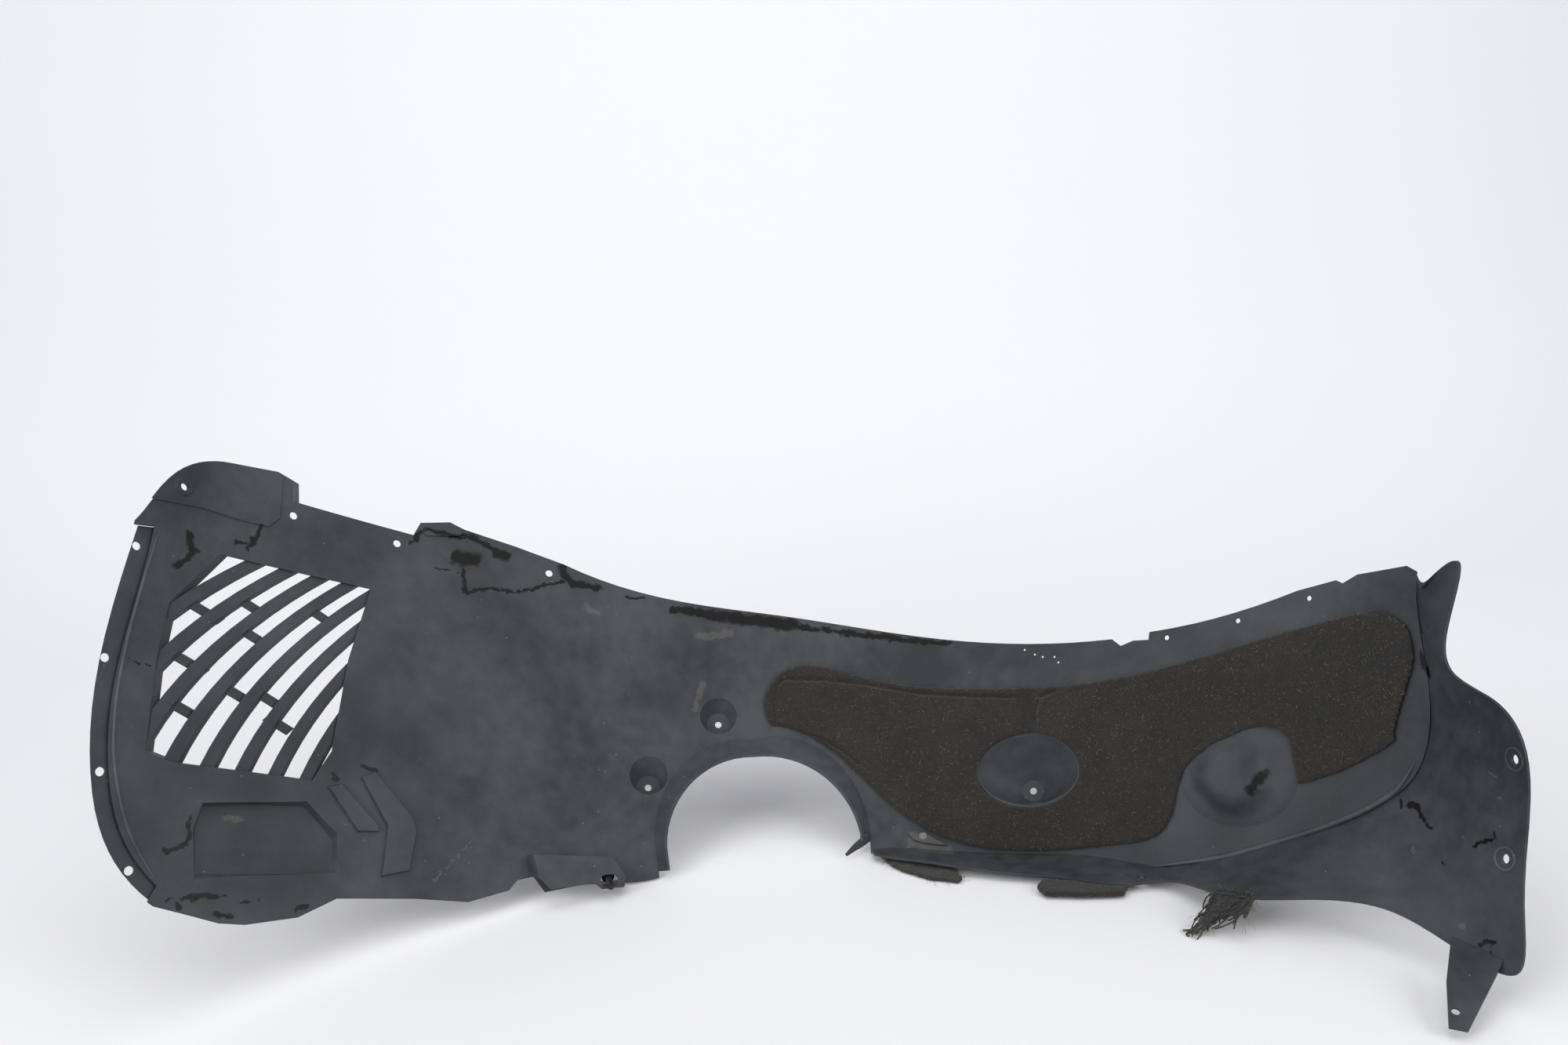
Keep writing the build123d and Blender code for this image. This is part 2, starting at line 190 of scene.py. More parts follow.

# wet marks and painted shade: half their width in metres and the pixel spots along them in the photograph;
# the marks at (275, 1165) and (380, 1159) are painted shade under the lower edge, and the one at (1595, 1006)
# paints a wet patch together with the shadow in the bulge's hollow
wetAndShadeMarks = [
    (0.0045, [(241, 684), (247, 702)]), (0.004, [(224, 722), (246, 706)]), (0.0025, [(316, 701), (333, 672)]),
    (0.0022, [(300, 692), (324, 693)]), (0.009, [(583, 712), (606, 714)]), (0.0032, [(591, 674), (592, 704)]),
    (0.0026, [(589, 724), (594, 755), (630, 752), (668, 754), (694, 746), (718, 743)]),
    (0.0014, [(554, 724), (584, 730)]), (0.006, [(717, 724), (724, 738)]), (0.0055, [(730, 744), (762, 749)]),
    (0.0035, [(526, 692), (544, 673), (568, 682), (598, 684), (641, 706)]), (0.007, [(634, 706), (646, 710)]),
    (0.0022, [(799, 762), (820, 763)]), (0.005, [(860, 777), (905, 784)]),
    (0.008, [(905, 784), (960, 791), (1010, 797)]), (0.004, [(1010, 797), (1110, 811), (1208, 821)]),
    (0.0028, [(209, 1084), (225, 1082), (237, 1076), (242, 1066)]), (0.002, [(242, 1066), (241, 1042)]),
    (0.0018, [(215, 1148), (243, 1146)]), (0.0034, [(243, 1146), (262, 1143), (276, 1143)]),
    (0.0018, [(276, 1143), (286, 1145)]), (0.003, [(225, 1153), (230, 1156)]),
    (0.0014, [(308, 1152), (328, 1148)]), (0.003, [(275, 1165), (293, 1170)]),
    (0.0036, [(380, 1159), (391, 1156)]), (0.003, [(425, 990), (430, 994)]),
    (0.0026, [(461, 977), (480, 984)]), (0.0014, [(165, 840), (192, 850)]),
    (0.003, [(1812, 832), (1822, 862)]), (0.0022, [(1788, 1020), (1789, 1029)]),
    (0.003, [(1799, 1027), (1811, 1032), (1814, 1041)]), (0.0018, [(1814, 1041), (1827, 1058)]),
    (0.0022, [(1880, 1081), (1891, 1075), (1908, 1071), (1907, 1062)]), (0.002, [(1843, 1102), (1845, 1103)]),
    (0.0028, [(1887, 1204), (1903, 1204)]), (0.0018, [(1901, 1206), (1900, 1217)]),
    (0.006, [(1595, 1006), (1614, 988)]), (0.003, [(1576, 1032), (1588, 1024)]),
]
# small punctures in the upper panel, painted pale as painted light where the light shows through them; no
# holes are cut
chipRadius = 0.0011
chipSpots = [(1307, 829), (1320, 835), (1330, 838), (1345, 838), (1350, 845)]
punctureLightMarks = [(chipRadius, [spot, spot]) for spot in chipSpots]
# faint scuffs: a long scratch, smears over the middle panel, a paler patch over the raised moulding by the
# cut-out's rear foot, and nicks on the skirt
scuffs = [
    (0.0014, [(554, 1123), (602, 1071)]), (0.005, [(893, 812), (932, 808)]),
    (0.004, [(897, 872), (886, 905)]), (0.004, [(748, 775), (762, 782)]),
    (0.009, [(1166, 1070), (1206, 1086)]), (0.003, [(287, 1042), (309, 1045)]),
    (0.0022, [(1802, 1083), (1804, 1086)]), (0.0022, [(1865, 1180), (1867, 1182)]),
    (0.0014, [(1911, 1015), (1914, 1021)]), (0.0012, [(1899, 984), (1908, 992)]),
]
markEdge = (1.1, 0.6)  # of a mark's half width, from clear to fully covered
leastSquare = 1e-9  # square metres, for a mark that is a single spot


def nearLine(tree, place, marks, landTree):
    # 1 on the marks and 0 away from them
    cover = None
    for radius, spots in marks:
        line = landedLine(spots, landTree)
        for a, b in zip(line, line[1:]):
            along = b - a
            share = along / max(along.length_squared, leastSquare)
            apart = addNode(tree, "ShaderNodeVectorMath", {0: place, 1: a}, operation="SUBTRACT").outputs[0]
            part = addNode(tree, "ShaderNodeVectorMath", {0: apart, 1: share}, operation="DOT_PRODUCT")
            part = addNode(tree, "ShaderNodeMath", {0: part.outputs["Value"], 1: 0.0}, operation="MAXIMUM")
            part = addNode(tree, "ShaderNodeMath", {0: part.outputs[0], 1: 1.0}, operation="MINIMUM")
            foot = addNode(tree, "ShaderNodeVectorMath", {0: along, "Scale": part.outputs[0]},
                           operation="SCALE")
            reach = addNode(tree, "ShaderNodeVectorMath", {0: apart, 1: foot.outputs[0]},
                            operation="DISTANCE")
            spot = addNode(tree, "ShaderNodeMapRange", {
                "Value": reach.outputs["Value"], "From Min": radius * markEdge[0],
                "From Max": radius * markEdge[1]}, clamp=False).outputs[0]
            if cover is None:
                cover = spot
            else:
                cover = addNode(tree, "ShaderNodeMath", {0: cover, 1: spot}, operation="MAXIMUM").outputs[0]
    # one clamp for all marks: a clamp on each would fill the renderer's stack, and the shell would turn black
    return addNode(tree, "ShaderNodeClamp", {"Value": cover}).outputs[0]


def makePolypropylene(name, look, marks):
    material, tree, coords, shader = startMaterial(name)
    film = addNode(tree, "ShaderNodeTexNoise", {
        "Vector": coords, "Scale": 1 / look["filmSize"], "Detail": look["filmDetail"]})
    mottle = addNode(tree, "ShaderNodeTexNoise", {
        "Vector": coords, "Scale": 1 / look["mottleSize"], "Detail": look["mottleDetail"]})
    dust = addNode(tree, "ShaderNodeMath", {0: film.outputs["Fac"], 1: look["filmShare"]},
                   operation="MULTIPLY")
    dust = addNode(tree, "ShaderNodeMath", {
        0: mottle.outputs["Fac"], 1: look["mottleShare"], 2: dust.outputs[0]}, operation="MULTIPLY_ADD")
    dustAmount = addNode(tree, "ShaderNodeMapRange", {
        "Value": dust.outputs[0], "From Min": look["dustRange"][0], "From Max": look["dustRange"][1]})
    colour = addNode(tree, "ShaderNodeMix", {
        0: dustAmount.outputs[0], 6: toLinear(look["clean"]), 7: toLinear(look["dusty"])}, data_type="RGBA")

    # a moulded edge is rounded and rubbed, and is painted a little paler: partly wear, partly a painted
    # highlight where it catches the light
    rounded = addNode(tree, "ShaderNodeBevel", {"Radius": look["edgeRadius"]}, samples=look["edgeSamples"])
    facing = addNode(tree, "ShaderNodeNewGeometry")
    bend = addNode(tree, "ShaderNodeVectorMath", {0: rounded.outputs[0], 1: facing.outputs["Normal"]},
                   operation="DOT_PRODUCT")
    rubbedAndHighlit = addNode(tree, "ShaderNodeMapRange", {
        "Value": bend.outputs["Value"], "From Min": look["edgeBend"][0], "From Max": look["edgeBend"][1],
        "To Max": look["edgeAmount"]})
    colour = addNode(tree, "ShaderNodeMix", {
        0: rubbedAndHighlit.outputs[0], 6: colour.outputs[2], 7: toLinear(look["edge"])}, data_type="RGBA")

    # pale specks of grit
    grit = addNode(tree, "ShaderNodeTexVoronoi", {"Vector": coords, "Scale": 1 / look["speckSpacing"]})
    near = addNode(tree, "ShaderNodeMapRange", {
        "Value": grit.outputs["Distance"], "From Min": look["speckRange"][0],
        "From Max": look["speckRange"][1], "To Max": look["speckAmount"]})
    some = addNode(tree, "ShaderNodeMath", {0: grit.outputs["Color"], 1: look["speckBar"]},
                   operation="GREATER_THAN")
    speck = addNode(tree, "ShaderNodeMath", {0: near.outputs[0], 1: some.outputs[0]}, operation="MULTIPLY")
    colour = addNode(tree, "ShaderNodeMix", {
        0: speck.outputs[0], 6: colour.outputs[2], 7: toLinear(look["speck"])}, data_type="RGBA")

    # scuffs, water runs, drops and the painted shade marks have edges that wander
    wander = addNode(tree, "ShaderNodeTexNoise", {
        "Vector": coords, "Scale": look["wanderScale"], "Detail": look["wanderDetail"]})
    centred = addNode(tree, "ShaderNodeVectorMath", {0: wander.outputs["Color"], 1: (0.5, 0.5, 0.5)},
                      operation="SUBTRACT")
    strayed = addNode(tree, "ShaderNodeVectorMath", {
        0: centred.outputs[0], 1: (look["wetWander"] * 2,) * 3, 2: coords}, operation="MULTIPLY_ADD")
    # and lie only on the side that faces the wheel
    outward = addNode(tree, "ShaderNodeVectorMath", {0: coords, 1: look["wheelMiddle"]}, operation="SUBTRACT")
    side = addNode(tree, "ShaderNodeVectorMath", {0: outward.outputs[0], 1: facing.outputs["Normal"]},
                   operation="DOT_PRODUCT")
    wheelSide = addNode(tree, "ShaderNodeMath", {0: side.outputs["Value"], 1: 0.0}, operation="LESS_THAN")
    worn = nearLine(tree, strayed.outputs[0], scuffs, shellTree)
    worn = addNode(tree, "ShaderNodeMath", {0: worn, 1: wheelSide.outputs[0]}, operation="MULTIPLY")
    worn = addNode(tree, "ShaderNodeMath", {0: worn.outputs[0], 1: look["scuffAmount"]}, operation="MULTIPLY")
    colour = addNode(tree, "ShaderNodeMix", {
        0: worn.outputs[0], 6: colour.outputs[2], 7: toLinear(look["scuff"])}, data_type="RGBA")
    # near-black over the wet marks and over the painted shade under the lower edges and in the bulge's hollow
    waterAndShade = nearLine(tree, strayed.outputs[0], marks, shellTree)
    waterAndShade = addNode(tree, "ShaderNodeMath", {0: waterAndShade, 1: wheelSide.outputs[0]}, operation="MULTIPLY")
    colour = addNode(tree, "ShaderNodeMix", {
        0: waterAndShade.outputs[0], 6: colour.outputs[2], 7: toLinear(look["wetShadeTone"])}, data_type="RGBA")
    # punctures go through the wall; the light through them is painted pale and shows on both sides
    paintedPunctureLight = nearLine(tree, coords, punctureLightMarks, shellTree)
    colour = addNode(tree, "ShaderNodeMix", {
        0: paintedPunctureLight, 6: colour.outputs[2], 7: toLinear(look["puncturePaleLight"])}, data_type="RGBA")
    tree.links.new(colour.outputs[2], shader.inputs["Base Color"])

    dry = addNode(tree, "ShaderNodeMapRange", {
        "Value": mottle.outputs["Fac"], "From Min": look["mottleRange"][0],
        "From Max": look["mottleRange"][1], "To Min": look["roughness"] + look["roughSpread"][0],
        "To Max": look["roughness"] + look["roughSpread"][1]})
    gloss = addNode(tree, "ShaderNodeMix", {0: waterAndShade.outputs[0], 2: dry.outputs[0], 3: look["wetRoughness"]})
    tree.links.new(gloss.outputs[0], shader.inputs["Roughness"])
    shader.inputs["Specular IOR Level"].default_value = look["specular"]
    grain = addNode(tree, "ShaderNodeTexNoise", {
        "Vector": coords, "Scale": 1 / look["grain"], "Detail": look["grainDetail"]})
    bump = addNode(tree, "ShaderNodeBump", {
        "Height": grain.outputs["Fac"], "Normal": rounded.outputs[0], "Strength": look["grainStrength"],
        "Distance": look["grainDepth"]})
    tree.links.new(bump.outputs[0], shader.inputs["Normal"])
    shader.inputs["IOR"].default_value = look["ior"]
    return material


# needle felt: short polyester fibres punched into a flat pad, brown-black, with single pale fibres that lie
# every way; no gloss, and a soft bloom at a flat angle
needleFelt = {
    "pile": "#141210",
    "worn": "#231f1b",
    "fibre": "#6f6757",
    "pressed": "#0d0c0b",
    "patchSize": 0.05,
    "patchDetail": 8.0,
    "patchRoughness": 0.75,
    "wornRange": (0.4, 0.72),  # noise from full pile to worn pile
    "fibreWidth": 0.0010,  # drawn coarser than the real 0.03 mm so that single fibres show
    "fibreLength": 0.0028,
    "fibreTurns": (0.4, 1.5, 2.5),  # radians about the line of sight, one layer of fibres each
    "fibreDetail": 2.0,
    "share": 0.67,  # noise from which a fibre is pale
    "shareEdge": 0.08,
    "fibreAmount": 0.6,
    "pressedAmount": 0.55,
    "bumpStrength": 0.7,
    "bumpDepth": 0.0012,
    "roughness": 0.95,
    "sheen": 0.12,
    "sheenRoughness": 0.6,
}
# pressed places of the felt: half their width in metres and the pixel spots along them in the photograph
pressedBands = [(0.009, [(1310, 888), (1309, 934)]), (0.013, [(1305, 1030), (1303, 1090)])]


def makeFelt(name, look):
    material, tree, coords, shader = startMaterial(name)
    patch = addNode(tree, "ShaderNodeTexNoise", {
        "Vector": coords, "Scale": 1 / look["patchSize"], "Detail": look["patchDetail"],
        "Roughness": look["patchRoughness"]})
    amount = addNode(tree, "ShaderNodeMapRange", {
        "Value": patch.outputs["Fac"], "From Min": look["wornRange"][0], "From Max": look["wornRange"][1]})
    colour = addNode(tree, "ShaderNodeMix", {
        0: amount.outputs[0], 6: toLinear(look["pile"]), 7: toLinear(look["worn"])}, data_type="RGBA")
    height = patch
    squeeze = (1 / look["fibreLength"], 1 / look["fibreWidth"], 1 / look["fibreWidth"])
    for turn in look["fibreTurns"]:
        turned = addNode(tree, "ShaderNodeMapping", {"Vector": coords, "Rotation": (0, turn, 0)})
        laid = addNode(tree, "ShaderNodeMapping", {"Vector": turned.outputs[0], "Scale": squeeze})
        strand = addNode(tree, "ShaderNodeTexNoise", {
            "Vector": laid.outputs[0], "Scale": 1.0, "Detail": look["fibreDetail"]})
        bright = addNode(tree, "ShaderNodeMapRange", {
            "Value": strand.outputs["Fac"], "From Min": look["share"],
            "From Max": look["share"] + look["shareEdge"], "To Max": look["fibreAmount"]})
        colour = addNode(tree, "ShaderNodeMix", {
            0: bright.outputs[0], 6: colour.outputs[2], 7: toLinear(look["fibre"])}, data_type="RGBA")
        height = addNode(tree, "ShaderNodeMath", {0: height.outputs[0], 1: strand.outputs["Fac"]},
                         operation="ADD")
    flat = nearLine(tree, coords, pressedBands, padTree)
    flat = addNode(tree, "ShaderNodeMath", {0: flat, 1: look["pressedAmount"]}, operation="MULTIPLY")
    colour = addNode(tree, "ShaderNodeMix", {
        0: flat.outputs[0], 6: colour.outputs[2], 7: toLinear(look["pressed"])}, data_type="RGBA")
    tree.links.new(colour.outputs[2], shader.inputs["Base Color"])
    bump = addNode(tree, "ShaderNodeBump", {
        "Height": height.outputs[0], "Strength": look["bumpStrength"], "Distance": look["bumpDepth"]})
    tree.links.new(bump.outputs[0], shader.inputs["Normal"])
    shader.inputs["Roughness"].default_value = look["roughness"]
    shader.inputs["Sheen Weight"].default_value = look["sheen"]
    shader.inputs["Sheen Roughness"].default_value = look["sheenRoughness"]
    return material


# nylon of the push rivet: moulded, matt black, greyed by dust on its rims
rivetNylon = {
    "clean": "#141415",
    "dusty": "#343435",
    "filmSize": 0.006,
    "filmDetail": 5.0,
    "dustRange": (0.4, 0.7),
    "roughness": 0.55,
    "bumpStrength": 0.3,
    "bumpDepth": 0.0003,
}


def makeNylon(look):
    material, tree, coords, shader = startMaterial("mouldedNylon")
    film = addNode(tree, "ShaderNodeTexNoise", {
        "Vector": coords, "Scale": 1 / look["filmSize"], "Detail": look["filmDetail"]})
    amount = addNode(tree, "ShaderNodeMapRange", {
        "Value": film.outputs["Fac"], "From Min": look["dustRange"][0], "From Max": look["dustRange"][1]})
    colour = addNode(tree, "ShaderNodeMix", {
        0: amount.outputs[0], 6: toLinear(look["clean"]), 7: toLinear(look["dusty"])}, data_type="RGBA")
    tree.links.new(colour.outputs[2], shader.inputs["Base Color"])
    bump = addNode(tree, "ShaderNodeBump", {
        "Height": film.outputs["Fac"], "Strength": look["bumpStrength"], "Distance": look["bumpDepth"]})
    tree.links.new(bump.outputs[0], shader.inputs["Normal"])
    shader.inputs["Roughness"].default_value = look["roughness"]
    return material


# loose fibres: single drawn polyester fibres, paler than the pad because light goes through them
looseFibre = {
    "dull": "#2c2925",
    "pale": "#8d8574",
    "changeSize": 0.02,
    "changeDetail": 5.0,
    "paleRange": (0.35, 0.65),
    "roughness": 0.7,
}


def makeFibre(look):
    material, tree, coords, shader = startMaterial("drawnPolyesterFibre")
    change = addNode(tree, "ShaderNodeTexNoise", {
        "Vector": coords, "Scale": 1 / look["changeSize"], "Detail": look["changeDetail"]})
    amount = addNode(tree, "ShaderNodeMapRange", {
        "Value": change.outputs["Fac"], "From Min": look["paleRange"][0], "From Max": look["paleRange"][1]})
    colour = addNode(tree, "ShaderNodeMix", {
        0: amount.outputs[0], 6: toLinear(look["dull"]), 7: toLinear(look["pale"])}, data_type="RGBA")
    tree.links.new(colour.outputs[2], shader.inputs["Base Color"])
    shader.inputs["Roughness"].default_value = look["roughness"]
    return material


shellFinish = makePolypropylene("mouldedPolypropylene", polypropylene, wetAndShadeMarks)
paleHighlightLook = dict(polypropylene, clean="#3c3d40", dusty="#58595c")  # paler finish: a painted highlight along the creases and the cone's rim
paleHighlightFinish = makePolypropylene("paleHighlightPolypropylene", paleHighlightLook, wetAndShadeMarks[:1])
feltFinish = makeFelt("needleFelt", needleFelt)
fleeceLook = dict(needleFelt, pile="#151515", worn="#2b2a29", fibre="#55524c", share=0.62)
fleeceFinish = makeFelt("tornFleece", fleeceLook)
rivetFinish = makeNylon(rivetNylon)
fibreFinish = makeFibre(looseFibre)
hardFinishes = {"liner_shell": shellFinish, "push_rivet_sleeve": rivetFinish, "push_rivet_pin": rivetFinish}
for name, finish in hardFinishes.items():
    nodes[name].data.materials.clear()
    nodes[name].data.materials.append(finish)
print("materials made")


# soft pieces start from the CAD solid, remeshed finely enough to round its edges and take its dents
softForm = {
    "weld": 1e-6,  # metres between the loose triangles' corners
    "smoothing": 0.5,
    "lumpRoughness": 0.8,
    "lumpSteps": 2.0,
    "lumpLayers": 3,
}


def softCopy(name, nodeName, look):
    mesh = nodes[nodeName].data.copy()
    bm = bmesh.new()
    bm.from_mesh(mesh)
    bmesh.ops.remove_doubles(bm, verts=bm.verts, dist=softForm["weld"])
    bm.to_mesh(mesh)
    bm.free()
    draft = link(name + "Draft", mesh)
    remesh = draft.modifiers.new("fine", "REMESH")
    remesh.mode = "VOXEL"
    remesh.voxel_size = look["voxel"]
    ready = draft.evaluated_get(bpy.context.evaluated_depsgraph_get())
    fine = bpy.data.meshes.new_from_object(ready)
    bpy.data.objects.remove(draft)
    bm = bmesh.new()
    bm.from_mesh(fine)
    for turn in range(look["rounds"]):
        bmesh.ops.smooth_vert(bm, verts=bm.verts, factor=softForm["smoothing"],
                              use_axis_x=True, use_axis_y=True, use_axis_z=True)
    bm.normal_update()
    height, size = look["lump"]
    for vert in bm.verts:
        lump = noise.fractal(vert.co / size, softForm["lumpRoughness"], softForm["lumpSteps"],
                             softForm["lumpLayers"])
        vert.co += vert.normal * height * lump
        vert.co.z = max(vert.co.z, 0.0)  # nothing goes into the floor
    bm.normal_update()
    fine.clear_geometry()
    bm.to_mesh(fine)
    bm.free()
    fine.materials.clear()
    return link(name, fine)


def settle(piece, nodeName, finish):
    piece.data.materials.append(finish)
    smoothShade(piece.data)
    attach(piece, "root")
    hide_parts(nodeName)


def falloff(distance, width):
    share = min(max(distance / width, 0.0), 1.0)
    return 1 - share * share * (3 - 2 * share)


def lineDistance(spot, line):
    nearest = []
    for a, b in zip(line, line[1:]):
        foot, share = intersect_point_line(spot, a, b)
        nearest.append((spot - (a if share < 0 else b if share > 1 else foot)).length)
    return min(nearest)


# felt pad: welded lines pressed along its front end and beside the channel, and a band below the cone
feltPad = {
    "voxel": 0.0017,
    "rounds": 3,
    "lump": (0.0005, 0.012),  # metres high and wide
    "fill": 0.2,
    "wheelFace": -0.2,  # a normal's y below which the face looks to the wheel
    "lineDepth": 0.003,
    "lineWidth": 0.0035,
    "bandDepth": 0.0022,
    "bandWidth": 0.016,
    "lines": [
        [(1298, 937), (1298, 889), (1236, 888), (1173, 884), (1101, 872), (1050, 867), (999, 866), (990, 876),
         (987, 898), (989, 924), (1003, 934), (1046, 942), (1074, 957), (1095, 974)],
        [(1345, 881), (1324, 889), (1320, 910), (1320, 928)],
    ],
    "bands": [[(1310, 888), (1309, 934)], [(1305, 1028), (1303, 1090)]],
}


def makeFeltPad(look):
    pad = softCopy("feltPad", "fleece_pad", look)
    presses = [(landedLine(line, padTree), look["lineDepth"], look["lineWidth"]) for line in look["lines"]]
    presses += [(landedLine(line, padTree), look["bandDepth"], look["bandWidth"]) for line in look["bands"]]
    bm = bmesh.new()
    bm.from_mesh(pad.data)
    bm.normal_update()
    for vert in bm.verts:
        if vert.normal.y > look["wheelFace"]:
            continue
        push = 0.0
        for line, depth, width in presses:
            if len(line) > 1:
                push = max(push, depth * falloff(lineDistance(vert.co, line), width))
        vert.co -= vert.normal * push
    bm.to_mesh(pad.data)
    bm.free()
    settle(pad, "fleece_pad", feltFinish)
    return pad


feltPiece = makeFeltPad(feltPad)
print("felt pad pressed:", len(feltPiece.data.polygons), "faces")

foamStrip = {"voxel": 0.0011, "rounds": 6, "lump": (0.0005, 0.008), "fill": 0.5}
stripPiece = softCopy("foamStrip", "foam_strip", foamStrip)
settle(stripPiece, "foam_strip", feltFinish)

fleeceFlap = {"voxel": 0.0011, "rounds": 8, "lump": (0.0009, 0.010), "fill": 0.15}
flapPiece = softCopy("fleeceFlap", "fleece_flap", fleeceFlap)
settle(flapPiece, "fleece_flap", fleeceFinish)

fleeceTuft = {"voxel": 0.0009, "rounds": 5, "lump": (0.0012, 0.006), "fill": 0.1}
tuftPiece = softCopy("fleeceTuft", "fleece_tuft", fleeceTuft)
settle(tuftPiece, "fleece_tuft", fleeceFinish)
print("loose fleece shaped")


# forms of the moulding that are finer than the CAD shell: the rounded creases of the ridge and the front
# fold, the cone's rim, the end of the cut-out's lip, the rings round the rear holes and the bulge's skin
splineOrder = 3


def newCurve(name):
    curve = bpy.data.curves.new(name, "CURVE")
    curve.dimensions = "3D"
    return curve


def tubePiece(curve, thickness, rounding, finish):
    curve.bevel_depth = thickness
    curve.bevel_resolution = rounding
    name = curve.name
    draft = link(name + "Draft", curve)
    ready = draft.evaluated_get(bpy.context.evaluated_depsgraph_get())
    mesh = bpy.data.meshes.new_from_object(ready)
    bpy.data.objects.remove(draft)
    mesh.materials.clear()
    mesh.materials.append(finish)
    smoothShade(mesh)
    piece = link(name, mesh)
    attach(piece, "root")


# creases, painted pale along them as a painted highlight: thickness in metres and the pixels along them in
# the photograph
ridgeBead = {
    "thickness": 0.0026,
    "rounding": 3,
    "endShare": 0.3,  # of the thickness, at both ends
    "line": [(1474, 1105), (1505, 1102), (1543, 1097), (1575, 1090), (1605, 1081), (1664, 1064), (1726, 1041),
             (1764, 1021), (1788, 1003), (1805, 972)],
}
frontBead = {
    "thickness": 0.0014,
    "rounding": 3,
    "endShare": 0.3,
    "line": [(201, 682), (183, 740), (166, 800), (153, 860), (146, 907), (144, 970), (155, 1034), (172, 1082),
             (198, 1122)],
}


def makeBead(name, look):
    curve = newCurve(name)
    spots = landedLine(look["line"], shellTree)
    spline = curve.splines.new("NURBS")
    spline.points.add(len(spots) - 1)
    for point, spot in zip(spline.points, spots):
        point.co = (*spot, 1.0)
    spline.points[0].radius = look["endShare"]
    spline.points[-1].radius = look["endShare"]
    spline.use_endpoint_u = True
    spline.order_u = splineOrder
    curve.use_fill_caps = True
    tubePiece(curve, look["thickness"], look["rounding"], paleHighlightFinish)


# rolled edge of the cone, seen in the photograph as a pale oval; its paleness is a painted highlight
coneRim = {"thickness": 0.001, "rounding": 2, "middle": (1311, 982), "half": (65, 47), "corners": 48}


def makeConeRim(look):
    curve = newCurve("coneRim")
    (middleX, middleY), (halfX, halfY) = look["middle"], look["half"]
    turns = [2 * math.pi * number / look["corners"] for number in range(look["corners"])]
    spots = [(middleX + halfX * math.cos(turn), middleY + halfY * math.sin(turn)) for turn in turns]
    hits = landedLine(spots, shellTree)
    spline = curve.splines.new("POLY")
    spline.points.add(len(hits) - 1)
    spline.use_cyclic_u = True
    for point, hit in zip(spline.points, hits):
        point.co = (*hit, 1.0)
    tubePiece(curve, look["thickness"], look["rounding"], paleHighlightFinish)


# pointed end of the lip at the cut-out's rear foot
lipTongue = {
    "width": 0.0042,  # metres, half
    "thickness": 0.0011,
    "rounding": 2,
    "rows": [  # pixel, millimetres nearer the camera, share of the width
        ((1108, 1068), 0, 1.0),
        ((1100, 1074), 4, 1.0),
        ((1090, 1081), 8, 0.8),
        ((1079, 1091), 10, 0.35),
    ],
}


def makeLipTongue(look):
    curve = newCurve("lipTongue")
    root = landing(look["rows"][0][0], shellTree)[0]
    depth = (camera.matrix_world.inverted() @ root).z
    spline = curve.splines.new("NURBS")
    spline.points.add(len(look["rows"]) - 1)
    for point, (spot, nearer, share) in zip(spline.points, look["rows"]):
        local = pixelRay(spot) / -cameraPlace["focal"]
        place = camera.matrix_world @ (local * (depth + nearer / 1000))
        point.co = (*place, 1.0)
        point.radius = share
    spline.use_endpoint_u = True
    spline.order_u = splineOrder
    curve.extrude = look["width"]
    tubePiece(curve, look["thickness"], look["rounding"], shellFinish)


# low pale rings round the two rear holes
holeRings = {
    "thickness": 0.0012,
    "rounding": 2,
    "radius": 0.009,
    "corners": 28,
    "centres": [(0.59231, -0.17191, 0.18775), (0.57961, -0.18856, 0.10945)],
    "axis": (-0.987648, 0.032592, 0.153264),  # of both holes, towards the wheel
    "probe": 0.02,  # metres off the skirt, from where the rings are dropped on it
}


def makeHoleRings(look):
    curve = newCurve("holeRings")
    axis = Vector(look["axis"])
    side = axis.orthogonal().normalized()
    other = axis.cross(side)
    for centre in look["centres"]:
        spline = curve.splines.new("POLY")
        spline.points.add(look["corners"] - 1)
        spline.use_cyclic_u = True
        for number, point in enumerate(spline.points):
            turn = 2 * math.pi * number / look["corners"]
            way = side * math.cos(turn) + other * math.sin(turn)
            spot = Vector(centre) + way * look["radius"]
            hit = shellTree.ray_cast(spot + axis * look["probe"], -axis)[0]
            point.co = (*(hit or spot), 1.0)
    tubePiece(curve, look["thickness"], look["rounding"], paleHighlightFinish)


# soft skin that evens out the bulge
bulgeSkin = {
    "middle": (1575, 985),  # pixel
    "half": (0.064, 0.058),  # metres along the arch and across it
    "cells": (64, 58),
    "probe": 0.05,  # metres off the bulge, from where its height is felt
    "reach": 0.12,
    "missed": -0.02,  # height where nothing is felt
    "spread": 3,  # cells by which high places are widened
    "rounds": 14,
    "rimWidth": 0.25,  # of the half size, over which the skin dips into the shell
    "rimBar": 0.999,  # the skin ends where the dip is full
    "cover": 0.0008,
    "thickness": 0.001,
}


